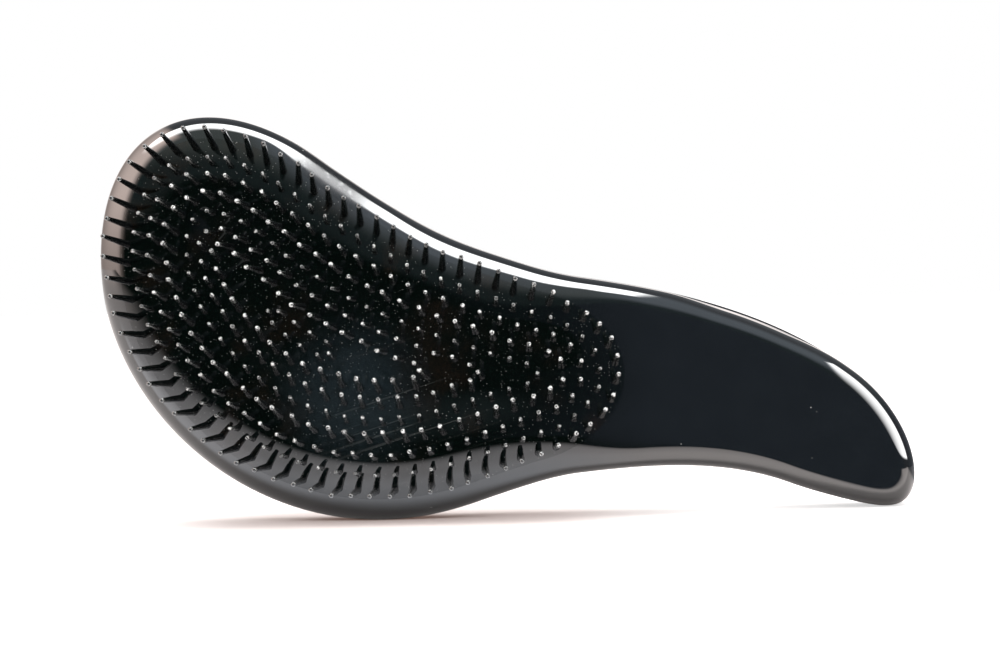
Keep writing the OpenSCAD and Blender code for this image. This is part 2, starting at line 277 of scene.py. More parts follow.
class BodyShape:
    """The brush's middle line, outline and depths. Lines hold (x, z) points from the head's end."""

    def __init__(self, body, pad):
        self.body = body
        self.pad = pad
        self.line_u = np.linspace(0, body.spine_l, SPINE_STEPS + 1)
        turn = self.slope((self.line_u[1:] + self.line_u[:-1]) / 2)
        step = body.spine_l / SPINE_STEPS
        self.line_x = np.concatenate([[0], np.cumsum(np.cos(turn) * step)])
        self.line_z = np.concatenate([[0], np.cumsum(np.sin(turn) * step)])
        swept = self.closed_line(body.skin_inset, body.spine_l - body.skin_inset, body.tip_l, STATIONS)
        self.outline = self.without_wave(swept)
        core_u = crowded(body.core_head_gap, body.spine_l - body.core_tip_gap, STATIONS)
        core = self.across(core_u, 0)
        self.core = np.concatenate([core, core[-2:0:-1]])
        self.ray_l = np.linalg.norm(self.core - self.outline, axis=1)
        self.shift = self.find_shift()

    def slope(self, u):
        """Slope of the middle line."""
        body = self.body
        handle = np.clip((u - body.handle_turn_from) / (body.spine_l - body.handle_turn_from), 0, 1)
        head = ease((u - body.head_turn_from) / body.head_turn_l)
        return -body.head_slope + body.head_turn * head - body.handle_turn * handle**2

    def across(self, u, v):
        """Points at v to the side of the middle line."""
        turn = self.slope(u)
        x = np.interp(u, self.line_u, self.line_x) - v * np.sin(turn)
        z = np.interp(u, self.line_u, self.line_z) + v * np.cos(turn)
        return np.stack([x, z], axis=1)

    def half_width(self, u, inset, end_u, end_l):
        """Half width of the body, or of a line that runs inside it by an inset."""
        body = self.body
        neck_u = body.head_l + body.shoulder_l
        taper = mix(body.neck_w, body.tip_w, (u - neck_u) / (body.spine_l - neck_u)) / 2
        head = (body.head_w / 2 - inset) * round_end((body.head_l - u) / (body.head_l - inset))
        rest = mix(body.head_w / 2, taper, ease((u - body.head_l) / body.shoulder_l)) - inset
        half = np.maximum(0, np.where(u < body.head_l, head, rest))
        return half * round_end(np.maximum(0, (u - end_u) / end_l + 1))

    def closed_line(self, inset, end_u, end_l, count, least=0.0):
        """A closed line inside the body: over the top to end_u and back below."""
        u = crowded(inset, end_u, count)
        half = self.half_width(u, inset, end_u, end_l)
        if least > 0:
            u, half = u[half >= least], half[half >= least]
        top = self.across(u, half)
        low = self.across(u, -half)
        return np.concatenate([top, low[::-1] if least > 0 else low[-2:0:-1]])

    def without_wave(self, swept):
        """The outline with a running mean on the neck's upper side, where the sweep leaves a wave."""
        body = self.body
        steps = np.linalg.norm(np.roll(swept, -1, axis=0) - swept, axis=1)
        runs = np.cumsum(steps) - steps
        cells = steps + np.roll(steps, 1)
        line = swept.copy()
        for i in range(STATIONS + 1):
            x = swept[i, 0]
            share = ease((x - body.wave_from) / body.wave_from_l)
            share = share * (1 - ease((x - body.wave_to) / body.wave_to_l))
            between = np.abs(runs - runs[i])
            between = np.minimum(between, steps.sum() - between)
            weights = np.maximum(0, 1 - between / body.mean_l) * cells
            line[i] = mix(swept[i], (swept * weights[:, None]).sum(0) / weights.sum(), share)
        return line

    def find_shift(self):
        """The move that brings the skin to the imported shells."""
        low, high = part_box("back_shell")
        middle_x = (self.outline[:, 0].min() + self.outline[:, 0].max()) / 2
        back = self.arch(self.core[:, 0]) + self.body.back_side + self.dome_d(self.core[:, 0])
        return np.array([
            (low.x + high.x) / 2 - middle_x,
            high.y - back.max(),
            low.z - self.outline[:, 1].min(),
        ])

    def arch(self, x):
        """How far the lengthwise arch falls back."""
        return (x - self.body.arch_x) ** 2 / (2 * self.body.arch_r)

    def to_handle(self, x):
        """The share of the handle's edge, from 0 on the head to 1 on the handle."""
        return ease((x - self.body.roll_from) / (self.body.roll_to - self.body.roll_from))

    def roll_w(self, x):
        """Width of the rounded edge."""
        return mix(self.body.head_roll_w, self.body.handle_roll_w, self.to_handle(x))

    def roll_d(self, x):
        """Depth of the rounded edge."""
        return mix(self.body.head_roll_d, self.body.handle_roll_d, self.to_handle(x))

    def dome_d(self, x):
        """Depth of the back's dome."""
        return mix(self.body.head_dome_d, self.body.handle_dome_d, self.to_handle(x))

    def placed(self, points, depth):
        """Points in the shared frame, at a depth in front of the parting line."""
        y = self.arch(points[:, 0]) - depth
        return np.stack([points[:, 0], y, points[:, 1]], axis=1) + self.shift

    def along_rays(self, distance):
        """Points on the rays that run from the outline in to the core."""
        return mix(self.outline, self.core, (distance / self.ray_l)[:, None])

    def draft(self, t):
        """How far the front shell's side stands back at a share of its height, on top of the handle."""
        body = self.body
        x = self.outline[:, 0]
        share = ease((x - body.draft_from) / body.draft_l) * ease((body.draft_to - x) / body.draft_l)
        return (body.draft_step + body.draft_w * t) * share * (np.arange(len(x)) <= STATIONS)

    def rim_ring(self, distance, depth):
        """A ring near the parting line."""
        return self.placed(self.along_rays(distance + np.zeros(len(self.ray_l))), depth)

    def front_rings(self):
        """Rings of the front shell's skin, from the parting line over the rolled edge to the core."""
        body = self.body
        x = self.outline[:, 0]
        edge = body.front_d - self.roll_d(x)
        start = body.parting / 2
        rings = [self.rim_ring(self.draft(0) + body.parting_break, start)]
        for t in np.linspace(0, 1, SIDE_STEPS + 1)[:-1]:
            rings.append(self.rim_ring(self.draft(t), mix(start + body.parting_break, edge, t)))
        for turn in np.linspace(0, math.pi / 2, ROLL_STEPS + 1):
            points = self.along_rays(mix(self.draft(1), self.roll_w(x), 1 - math.cos(turn)))
            rings.append(self.placed(points, body.front_d - self.roll_d(x) * (1 - math.sin(turn))))
        for t in np.linspace(0, 1, FACE_STEPS + 1)[1:]:
            points = self.along_rays(mix(self.roll_w(x), self.ray_l, t))
            dish = body.dish_d * ease(t) * (1 - self.to_handle(points[:, 0]))
            rings.append(self.placed(points, body.front_d - dish))
        return rings

    def back_rings(self):
        """Rings of the back shell's skin, from the parting line over the dome to the core."""
        body = self.body
        start = -body.parting / 2
        rings = [self.rim_ring(body.parting_break, start)]
        rings.append(self.rim_ring(0.0, start - body.parting_break))
        for turn in np.linspace(0, math.pi / 2, DOME_STEPS + 1):
            points = self.along_rays(self.ray_l * (1 - math.cos(turn)))
            dome = (self.dome_d(points[:, 0]) - body.back_trim) * math.sin(turn)
            rings.append(self.placed(points, -body.back_side - dome))
        return rings

    def inset_of(self, point):
        """Distance of a point inside the body from its outline."""
        start = self.outline
        edge = np.roll(self.outline, -1, axis=0) - start
        t = np.clip(((point - start) * edge).sum(1) / (edge * edge).sum(1), 0, 1)
        return np.linalg.norm(start + edge * t[:, None] - point, axis=1).min()

    def face_slope(self, x, inset):
        """Slope of the face away from its edge."""
        share = np.clip(inset / self.roll_w(x), 0, 1)
        rise = self.roll_d(x) / self.roll_w(x)
        roll = rise * (1 - share) / max(round_end(1 - share), NOT_ZERO)
        span = (self.body.head_w - 2 * self.body.head_roll_w) / 2
        t = np.clip((inset - self.roll_w(x)) / span, 0, 1)
        dish = self.body.dish_d * ease_slope(t) / span * (1 - self.to_handle(x))
        return roll - dish

    def pad_line(self, margin):
        """The pad's outline at a margin from the body's."""
        end_u = self.pad.end + self.pad.margin - margin
        return self.closed_line(margin, end_u, self.pad.round_l, WINDOW_STATIONS)

    def strand_places(self):
        """The bristles' places: point on the pad, inward direction and number of the ring."""
        pad = self.pad
        ring_pitch = (self.body.head_w / 2 - pad.margin - pad.ring_margin) / (pad.rings - 0.5)
        for ring in range(pad.rings):
            back = pad.ring_margin + ring * ring_pitch
            end_l = max(MM, pad.round_l - back)
            least = pad.narrowest * ring_pitch / 2
            line = self.closed_line(pad.margin + back, pad.end - back, end_l, RING_STATIONS, least)
            edge = np.roll(line, -1, axis=0) - line
            runs = np.concatenate([[0], np.cumsum(np.linalg.norm(edge, axis=1))])
            count = max(2, round(runs[-1] / pad.pitch))
            for k in range(count):
                run = runs[-1] * (k + (ring % 2) / 2) / count
                i = int(np.searchsorted(runs, run, side="right")) - 1
                t = (run - runs[i]) / (runs[i + 1] - runs[i])
                inward = np.array([edge[i][1], -edge[i][0]]) / np.linalg.norm(edge[i])
                yield line[i] + edge[i] * t, inward, ring

    def strand_direction(self, point, inward):
        """The direction in which a bristle stands on the face."""
        square = self.face_slope(point[0], self.inset_of(point))
        lean = square * self.pad.edge_lean if square > 0 else square
        tilt = (point[0] - self.body.arch_x) / self.body.arch_r
        rise = math.tan(self.pad.lift) - lean * inward[1]
        return Vector((tilt - lean * inward[0], -1, rise)).normalized()


class Flow:
    """An output of a shader node. Sums of outputs and numbers add Math nodes."""

    def __init__(self, shader, socket):
        self.shader = shader
        self.socket = socket

    def out(self, name):
        """Another output of the same node."""
        return Flow(self.shader, self.socket.node.outputs[name])

    def math(self, operation, first, second):
        """A Math node's result."""
        return self.shader.node("Math", {0: first, 1: second}, operation=operation)

    def __add__(self, other):
        return self.math("ADD", self, other)

    def __mul__(self, other):
        return self.math("MULTIPLY", self, other)

    def __sub__(self, other):
        return self.math("SUBTRACT", self, other)

    def __rsub__(self, other):
        return self.math("SUBTRACT", other, self)

    def __gt__(self, other):
        return self.math("GREATER_THAN", self, other)

    def __lt__(self, other):
        return self.math("LESS_THAN", self, other)

    __radd__ = __add__
    __rmul__ = __mul__

    def larger(self, other):
        """The larger of two values."""
        return self.math("MAXIMUM", self, other)


class Shader:
    """A node tree that is built from Python expressions."""

    def __init__(self, owner):
        owner.use_nodes = True
        self.tree = owner.node_tree
        self.tree.nodes.clear()

    def node(self, kind, inputs=None, **settings):
        """Adds a node: first its settings, then its inputs' values or links. Returns its first output."""
        node = self.tree.nodes.new("ShaderNode" + kind)
        for name, value in settings.items():
            setattr(node, name, value)
        for name, value in (inputs or {}).items():
            if isinstance(value, Flow):
                self.tree.links.new(value.socket, node.inputs[name])
            else:
                node.inputs[name].default_value = value
        return Flow(self, node.outputs[0]) if node.outputs else None

    def place(self):
        """Object coordinates, in metres."""
        return self.node("TexCoord").out("Object")

    def axes(self, vector):
        """The X, Y and Z of a vector."""
        x = self.node("SeparateXYZ", {"Vector": vector})
        return x, x.out("Y"), x.out("Z")

    def away_from(self, place):
        """Distance from a place, in metres."""
        inputs = {0: self.place(), 1: tuple(place)}
        return self.node("VectorMath", inputs, operation="DISTANCE").out("Value")

    def attribute(self, name):
        """A value that the vertices carry."""
        return self.node("Attribute", attribute_name=name).out("Fac")

    def noise(self, scale, detail, vector=None):
        """A noise value from 0 to 1 whose patches are about 1 / scale wide."""
        inputs = {"Vector": vector or self.place(), "Scale": scale, "Detail": detail}
        return self.node("TexNoise", inputs)

    def ramp(self, value, source, target=(0.0, 1.0)):
        """A value brought from one range to another, smoothly."""
        names = ("From Min", "From Max", "To Min", "To Max")
        inputs = {"Value": value, **dict(zip(names, (*source, *target)))}
        return self.node("MapRange", inputs, interpolation_type="SMOOTHSTEP")

    def patches(self, scale, detail, source, target=(0.0, 1.0)):
        """Noise brought from one range to another."""
        return self.ramp(self.noise(scale, detail), source, target)

    def waves(self, scale, detail, strength, height):
        """A normal that follows gentle waves."""
        inputs = {"Height": self.noise(scale, detail), "Strength": strength, "Distance": height}
        return self.node("Bump", inputs)

    def blend(self, share, first, second):
        """A colour between two colours."""
        inputs = {0: share, 6: opaque(first), 7: opaque(second)}
        return self.node("Mix", inputs, data_type="RGBA").out(2)

    def over(self, base, value, part):
        """A colour with a part over it: the range of a value where that comes in, and its colour."""
        source, rgb = part
        return self.blend(self.ramp(value, source), base, rgb)

    def surface(self, last, kind="OutputMaterial"):
        """Ends the tree."""
        self.node(kind, {"Surface": last})

    def plastic(self, colour, roughness, coat, waves, coat_roughness, coat_ior):
        """Ends the tree with a coated plastic."""
        self.surface(self.node("BsdfPrincipled", {
            "Base Color": colour,
            "Roughness": roughness,
            "IOR": IOR,
            "Coat Weight": coat,
            "Coat Roughness": coat_roughness,
            "Coat IOR": coat_ior,
            "Normal": self.waves(*waves),
        }))


def opaque(rgb):
    """A colour with its alpha, which a colour that comes from a node has already."""
    return rgb if isinstance(rgb, Flow) else (*rgb, 1.0)


BLACK = (0, 0, 0)
WHITE = (1, 1, 1)

# Plastic and its coat
IOR = 1.55
COAT = (0.03, IOR)
NYLON_COAT = (0.06, 1.5)
DUST_ROUGHNESS = 0.5
SMUDGE_ROUGHNESS = 0.2
SMUDGE_MATTING = 0.9
SMUDGE_CORE = 0.3

# Waves: patches to a metre, detail, strength and height
SHELL_WAVES = (45, 1, 0.05, 0.3 * MM)
PAD_WAVES = (60, 1, 0.05, 0.3 * MM)
NYLON_WAVES = (1500, 2, 0.1, 0.02 * MM)

# Dust: cells to a metre, share of them that hold a speck, its radius in shares of the cell, and paleness
SHELL_DUST = (800, 0.01, 0.14, 1)
PAD_DUST = (900, 0.5, 0.12, 1)
FINE_DUST = (1700, 0.45, 0.17, 0.5)
PAD_GRAIN = (3200, 0.35, 0.3, 0.03)

# Pale streaks painted on the pad as reflections of other bristles: length, depth and width of a noise cell
# in metres, range of the noise, and paleness
PAINTED_STREAK_CELL = (1 / 12, 1, 1 / 1500)
PAINTED_STREAK_RANGE = (0.64, 0.7)
PAINTED_STREAK_PALENESS = 0.1

# Noise: patches to a metre and detail, then in some a range of the noise and what it becomes
SHELL_CLOUD = (160, 3)
PAD_CLOUD = (120, 3)
STREAKS = (500, 3, (0.3, 0.5), (0.6, 1))
DUSTY = (300, 2, (0.35, 0.7), (0.2, 1))
BROWNISH = (90, 2, (0.5, 0.7))
# The mottle breaks the tips' pale rings and caps into painted glints.
MOTTLE = (2300, 2, (0.46, 0.56), (0.02, 1))
NYLON_ROUGHNESS = (700, 2, (0.3, 0.7), (0.14, 0.26))

# Ramps over the clouds
SHELL_ROUGHNESS = ((0.3, 0.8), (0, 0.03))
PAD_ROUGHNESS = ((0.3, 0.8), (0.02, 0.06))
PAD_COAT = ((0.25, 0.75), (0.75, 0.5))

# Ramps over a bristle's smoky end, from 0 where it starts to 1 on top of the ball
# A painted reflection: a pale ring round the ball, below its darker top.
PAINTED_RIM_FROM = (0.81, 0.87)
PAINTED_RIM_TO = (0.975, 0.945)
CAP_FROM = (0.9, 0.97)
SMOKE_FROM = ((0.15, 0.85), (0.05, 1))
SMOKE_TO = ((0.8, 0.88), (1, 0.2))
NYLON_CLEAR = ((0, 0.8), (0.3, 1))

# Ramps over a bristle's paleness and round its sides, where every other side carries a painted highlight
# stripe
CAP_FADE = (0.3, 0.55)
SMOKE_FADE = (0.22, 0.38)
PAINTED_HIGHLIGHT_STRIPE = ((0.3, 0.85), (0.1, 1))


def dust_specks(shader, per_metre, share, size, paleness):
    """A mask of small specks: a share of the cells of a grid holds one."""
    cells = shader.node("TexVoronoi", {"Vector": shader.place(), "Scale": per_metre}, feature="F1")
    pick = shader.node("SeparateColor", {"Color": cells.out("Color")})
    return shader.ramp(cells.out("Distance"), (size / 2, size), (paleness, 0)) * (pick > 1 - share)


def streaky_patch_at(shader, place, reach):
    """A mask of one streaky patch about a place, for the smudge, the painted reflection and the painted
    streaks.
    """
    core = shader.ramp(shader.away_from(place), (reach, reach * SMUDGE_CORE))
    return core * shader.patches(*STREAKS)


def painted_streak_reflections(shader, lean):
    """A mask of long faint pale streaks that run up to the right across the face: painted reflections of
    other bristles.
    """
    inputs = {"Vector": shader.place(), "Rotation": (0, -lean, 0), "Scale": PAINTED_STREAK_CELL}
    turned = shader.node("Mapping", inputs, vector_type="TEXTURE")
    streaks = shader.noise(scale=1, detail=1, vector=turned)
    return shader.ramp(streaks, PAINTED_STREAK_RANGE, (0, PAINTED_STREAK_PALENESS))


def shell_gloss(name, finishes):
    """Mirror-gloss black moulding: faint waves, clouded polish, one smudge and a little dust."""
    material = bpy.data.materials.new(name)
    shader = Shader(material)
    dust = dust_specks(shader, *SHELL_DUST)
    cloud = shader.noise(*SHELL_CLOUD)
    smudge = streaky_patch_at(shader, finishes.smudge_place, finishes.smudge_r)
    black = shader.blend(cloud, finishes.shell_black, finishes.shell_blue)
    seen = shader.blend(dust, black, finishes.dust_and_reflection_grey)
    rough = shader.ramp(cloud, *SHELL_ROUGHNESS) + finishes.gloss
    rough = rough + dust * DUST_ROUGHNESS + smudge * SMUDGE_ROUGHNESS
    clear = (1 - dust) * (1 - smudge * SMUDGE_MATTING)
    shader.plastic(seen, rough, clear, SHELL_WAVES, *COAT)
    return material


def pad_gloss(name, finishes):
    """The pad's gloss: a little greener and less clear than the shell's, with fine dust, pale streaks
    painted as reflections of other bristles and a painted bluish reflection low on it.
    """
    material = bpy.data.materials.new(name)
    shader = Shader(material)
    dust = dust_specks(shader, *PAD_DUST) * shader.patches(*DUSTY)
    specks = dust_specks(shader, *PAD_GRAIN).larger(dust_specks(shader, *FINE_DUST)).larger(dust)
    # Pale streaks painted on the pad as reflections of other bristles.
    painted_streaks = painted_streak_reflections(shader, finishes.painted_streak_lean)
    painted_streaks = painted_streaks * streaky_patch_at(shader, finishes.painted_streak_place, finishes.painted_streak_r)
    black = shader.blend(shader.patches(*BROWNISH), finishes.pad_black, finishes.pad_brown)
    # A painted reflection: the pad's black turns bluish and paler about one place low on the pad.
    painted_reflection = streaky_patch_at(shader, finishes.painted_reflection_place, finishes.painted_reflection_r)
    black = shader.blend(painted_reflection, black, finishes.pad_painted_reflection)
    seen = shader.blend(specks.larger(painted_streaks), black, finishes.dust_and_reflection_grey)
    cloud = shader.noise(*PAD_CLOUD)
    rough = shader.ramp(cloud, *PAD_ROUGHNESS) + specks * DUST_ROUGHNESS
    clear = shader.ramp(cloud, *PAD_COAT) * (1 - dust)
    shader.plastic(seen, rough, clear, PAD_WAVES, *COAT)
    return material


def bristle_nylon(name, finishes):
    """Smoky nylon: black shafts, streaky with painted highlights towards ball tips; each tip has a pale
    ring round its ball, a painted reflection, and the paler tips also a pale cap of their own; both are
    mottled into painted glints.
    """
    material = bpy.data.materials.new(name)
    shader = Shader(material)
    tip = shader.attribute("tip_share")
    # The tip's paleness: partly random, partly painted shade and light by ring and place.
    fade = shader.attribute("tip_tone_and_painted_light")
    painted_rim_reflection = shader.ramp(tip, PAINTED_RIM_FROM) * shader.ramp(tip, PAINTED_RIM_TO)
    cap = shader.ramp(tip, CAP_FROM) * shader.ramp(fade, CAP_FADE)
    # The pale ring is a painted reflection and the cap is the tip's own paleness; the mottle breaks both
    # into painted glints.
    white = painted_rim_reflection.larger(cap) * shader.patches(*MOTTLE)
    # The smoky end: paler nylon, with painted highlight stripes on every other side.
    smoke_and_highlights = shader.ramp(tip, *SMOKE_FROM) * shader.ramp(tip, *SMOKE_TO) * shader.ramp(fade, SMOKE_FADE)
    smoke_and_highlights = smoke_and_highlights * shader.ramp(shader.attribute("painted_highlight_stripe"), *PAINTED_HIGHLIGHT_STRIPE)
    shaft = shader.blend(smoke_and_highlights, finishes.shaft_black, finishes.smoke_and_highlight_grey)
    pale = shader.blend(fade, finishes.tip_grey, finishes.tip_white)
    seen = shader.blend(white, shaft, pale)
    clear = shader.ramp(tip, *NYLON_CLEAR)
    shader.plastic(seen, shader.patches(*NYLON_ROUGHNESS), clear, NYLON_WAVES, *NYLON_COAT)
    return material


# The floor as the camera sees it: the colour of a painted shadow where the head rests, then how far from
# there the glow is full
PAINTED_CONTACT_SHADE = (1.2, 0.7, 0.55)
FULL_GLOW = ((0.03, 0.08), (6, 6, 6))

# The floor as the gloss sees it, with painted light and shade: where along X or Y each part comes in, in
# metres, and its colour
HEAD = (1, 1.6, 2.3)
NECK = ((0, 0.04), (4.2, 3.8, 3.7))
TIP = ((0.05, 0.08), (8, 7.2, 6.9))
# Painted light: a brighter band of floor just ahead of the brush, as the gloss sees it.
HEAD_CLOSE = (10, 10.6, 11.6)
NECK_CLOSE = ((0, 0.04), (10, 9.3, 9))
CLOSE = (-0.04, -0.012)
# Painted shadow: the floor right under the brush is dark in the gloss.
UNDER = ((-0.01, -0.003), (0.1, 0.1, 0.1))
LEFT = (1, 0.9, 0.86)
LEFT_FROM = (-0.13, -0.35)
FAR_LEFT = (18, 14.7, 13.4)
FAR_LEFT_FROM = (-0.2, -1.5)
DARK_LEFT = (0.02, 0.034, 0.03)
DARK_RIGHT = ((0.03, 0.09), (0.09, 0.115, 0.145))

# Bearing, as a share of Y, over which the far left fades like the wall beyond it
FAR_LEFT_LIT = (0.73, -0.35)

# Edges of the part of the floor that the gloss sees, in metres: their places, softness and slope
HANDLE_TO_TIP = (0.055, 0.082)
BEYOND_TIP = (0.09, 0.24)
BEYOND_HEAD = (-0.1, -0.6)
FRONT_SOFT = (0.065, 0.02)
LEFT_SOFT = (0, 0.14)
BEHIND = ((0.005, 0.05), (0, 0.8))
BEHIND_SLOPE = 2

# Share of the floor's look that glows
FLOOR_GLOW = 0.1


def floor_glow(shader, x, y, is_gloss, contact_x):
    """The glow's colour: shaded for the camera where the head rests, and uneven in the gloss."""
    # A painted shadow: the glow that the camera sees is darker and warm where the head rests.
    shaded_camera_glow = shader.over(PAINTED_CONTACT_SHADE, shader.away_from((contact_x, 0, 0)), FULL_GLOW)
    front = shader.over(shader.over(HEAD, x, NECK), x, TIP)
    close = shader.over(HEAD_CLOSE, x, NECK_CLOSE)
    front = shader.over(shader.over(front, y, (CLOSE, close)), y, UNDER)
    bearing = shader.node("VectorMath", {0: shader.place()}, operation="NORMALIZE")
    far = shader.over(BLACK, shader.axes(bearing)[1], (FAR_LEFT_LIT, FAR_LEFT))
    side = shader.over(LEFT, x, (FAR_LEFT_FROM, far))
    return shader.blend(is_gloss, shaded_camera_glow, shader.over(front, x, (LEFT_FROM, side)))


def floor_unlit(shader, x, y, stage):
    """The share of dark room that the gloss sees in place of the floor, ahead of the brush and behind."""
    edge = shader.ramp(x, HANDLE_TO_TIP, (-stage.gloss_near, -stage.gloss_tip))
    edge = edge - shader.ramp(x, BEYOND_TIP, (0, stage.gloss_near))
    edge = edge - shader.ramp(x, BEYOND_HEAD, (0, 2 * stage.gloss_near))
    blur = shader.ramp(x, HANDLE_TO_TIP, FRONT_SOFT) + shader.ramp(x, BEYOND_HEAD, LEFT_SOFT)
    ahead = shader.ramp(y - edge, (0 - blur, blur), (1, 0))
    return ahead.larger(shader.ramp(y - (0 - x).larger(0) * BEHIND_SLOPE, *BEHIND))


def floor_white(name, finishes, stage):
    """A white floor that keeps the brush's shadow, and in the gloss glows in part and is dark in part."""
    material = bpy.data.materials.new(name)
    shader = Shader(material)
    path = shader.node("LightPath")
    is_gloss = path.out("Is Glossy Ray")
    x, y, _ = shader.axes(shader.place())
    matt = shader.node("BsdfDiffuse", {"Color": opaque(finishes.floor_white)})
    white = shader.node("Emission", {"Color": floor_glow(shader, x, y, is_gloss, stage.contact_x)})
    dark = shader.node("Emission", {"Color": shader.over(DARK_LEFT, x, DARK_RIGHT)})
    share = (path.out("Is Camera Ray") + is_gloss) * FLOOR_GLOW
    seen = shader.node("MixShader", {0: share, 1: matt, 2: white})
    unlit = floor_unlit(shader, x, y, stage) * is_gloss
    shader.surface(shader.node("MixShader", {0: unlit, 1: seen, 2: dark}))
    material.cycles.emission_sampling = "NONE"
    return material


# The room as the gloss sees it: where along a direction's X, Y or Z each part comes in, and its colour
ROOM = (0.015, 0.028, 0.024)
ROOM_RIGHT = ((-0.1, 0.2), (0.09, 0.115, 0.145))
ROOM_ABOVE = ((0.05, 0.2), (0.1, 0.14, 0.145))
CEILING = (0.4, 0.46, 0.44)
CEILING_RIGHT = ((0, 0.3), (0.7, 0.8, 0.9))
CEILING_BACK = ((-0.3, 0.3), (0.25, 0.265, 0.285))
CEILING_UP = (0.3, 0.65)
LEFT_WALL = (0.6, 0.5, 0.46)
LEFT_WALL_LIT = (4.6, 3.75, 3.4)
LIT_ALONG = (0.85, -0.35)
LIT_UP = ((-0.1, 0.3), (0.4, 1))
LEFT_WALL_FROM = (-0.2, -0.6)
LEFT_WALL_RISE = 0.5
BACK_WALL = (1.5, 1.38, 1.34)
BACK_WALL_RIGHT = ((0.3, 0.5), (0.12, 0.13, 0.15))
BACK_WALL_LOW = (0.3, 0.3, 0.31)
LOW_ALONG = (0.7, 0.95)
LOW_UP = (0.14, 0.02)
WALLS_FROM = (-0.52, -0.3)
WALLS_UP = ((0.3, 0.5), (1, 0))


def studio_world(scene):
    """White for the camera and the soft light. The gloss sees a dark room with lit walls and a ceiling."""
    world = bpy.data.worlds.new("studio")
    scene.world = world
    shader = Shader(world)
    x, y, z = shader.axes(shader.node("TexCoord").out("Generated"))
    ceiling = shader.over(shader.over(CEILING, x, CEILING_RIGHT), y, CEILING_BACK)
    room = shader.over(shader.over(ROOM, x, ROOM_RIGHT), z, ROOM_ABOVE)
    room = shader.over(room, z, (CEILING_UP, ceiling))
    lit = shader.ramp(y, LIT_ALONG) * shader.ramp(z, *LIT_UP)
    low = shader.ramp(y, LOW_ALONG) * shader.ramp(z, LOW_UP)
    left = shader.ramp(x, LEFT_WALL_FROM)
    back_wall = shader.blend(low, shader.over(BACK_WALL, x, BACK_WALL_RIGHT), BACK_WALL_LOW)
    walls = shader.blend(left, back_wall, shader.blend(lit, LEFT_WALL, LEFT_WALL_LIT))
    beside = shader.ramp(y, WALLS_FROM) * shader.ramp(z - left * LEFT_WALL_RISE, *WALLS_UP)
    is_gloss = shader.node("LightPath").out("Is Glossy Ray")
    seen = shader.blend(is_gloss, WHITE, shader.blend(beside, room, walls))
    shader.surface(shader.node("Background", {"Color": seen}), "OutputWorld")
    world.cycles.sampling_method = "NONE"


def only(piece):
    """Selects one piece alone and makes it active."""
    bpy.ops.object.select_all(action="DESELECT")
    piece.select_set(True)
    bpy.context.view_layer.objects.active = piece


def add_circle(name, count):
    """A bare circle in edit mode, whose vertices remember their number round it."""
    bpy.ops.object.select_all(action="DESELECT")
    bpy.ops.mesh.primitive_circle_add(vertices=count, radius=START_R, fill_type="NOTHING")
    piece = bpy.context.object
    piece.name = name
    bpy.ops.object.mode_set(mode="EDIT")
    edit = bmesh.from_edit_mesh(piece.data)
    station = edit.verts.layers.int.new("station")
    for i, vert in enumerate(edit.verts):
        vert[station] = i
    bmesh.update_edit_mesh(piece.data)
    bpy.ops.mesh.select_all(action="SELECT")
    return piece


def place_selected(piece, ring):
    """Moves the selected vertices to a ring of points, each to its own station."""
    edit = bmesh.from_edit_mesh(piece.data)
    station = edit.verts.layers.int["station"]
    for vert in edit.verts:
        if vert.select:
            vert.co = ring[vert[station]]
    bmesh.update_edit_mesh(piece.data)


def face_towards(piece, direction):
    """Turns an open skin so that it faces a direction on the whole."""
    bpy.ops.mesh.select_all(action="SELECT")
    bpy.ops.mesh.normals_make_consistent(inside=False)
    edit = bmesh.from_edit_mesh(piece.data)
    facing = sum((f.normal * f.calc_area() for f in edit.faces), Vector())
    if facing.dot(direction) < 0:
        bpy.ops.mesh.flip_normals()


def loft(name, rings, direction):
    """A skin extruded from ring to ring and welded along the core, where its last ring folds shut."""
    piece = add_circle(name, len(rings[0]))
    place_selected(piece, rings[0])
    for ring in rings[1:]:
        bpy.ops.mesh.extrude_edges_indiv()
        place_selected(piece, ring)
    bpy.ops.mesh.select_all(action="SELECT")
    bpy.ops.mesh.remove_doubles(threshold=WELD)
    face_towards(piece, direction)
    bpy.ops.object.mode_set(mode="OBJECT")
    bpy.ops.object.shade_smooth()
    return piece


def prism(name, line, shape):
    """A closed prism along Y over a closed line, right through the front."""
    reach = 2 * shape.body.front_d
    points = shape.placed(line, 0) * (1, 0, 1) + (0, shape.shift[1] - reach, 0)
    piece = add_circle(name, len(line))
    place_selected(piece, points)
    bpy.ops.mesh.edge_face_add()
    bpy.ops.mesh.extrude_region_move(TRANSFORM_OT_translate={"value": (0, 2 * reach, 0)})
    bpy.ops.mesh.select_all(action="SELECT")
    bpy.ops.mesh.normals_make_consistent(inside=False)
    bpy.ops.object.mode_set(mode="OBJECT")
    return piece


def copy_of(piece, name):
    """A copy with its own mesh."""
    twin = piece.copy()
    twin.data = piece.data.copy()
    twin.name = name
    bpy.context.scene.collection.objects.link(twin)
    return twin


def apply_modifier(piece, kind, **settings):
    """Adds a modifier with its settings and applies it."""
    only(piece)
    modifier = piece.modifiers.new(kind.lower(), kind)
    for name, value in settings.items():
        setattr(modifier, name, value)
    bpy.ops.object.modifier_apply(modifier=modifier.name)


def thicken(piece, wall):
    """Gives an open skin its wall, on the inside."""
    apply_modifier(piece, "SOLIDIFY", thickness=wall, offset=-1.0)


def smooth_by_angle(piece):
    """Shades a piece smooth, with its true edges sharp."""
    only(piece)
    bpy.ops.object.shade_smooth_by_angle(angle=SHARP)


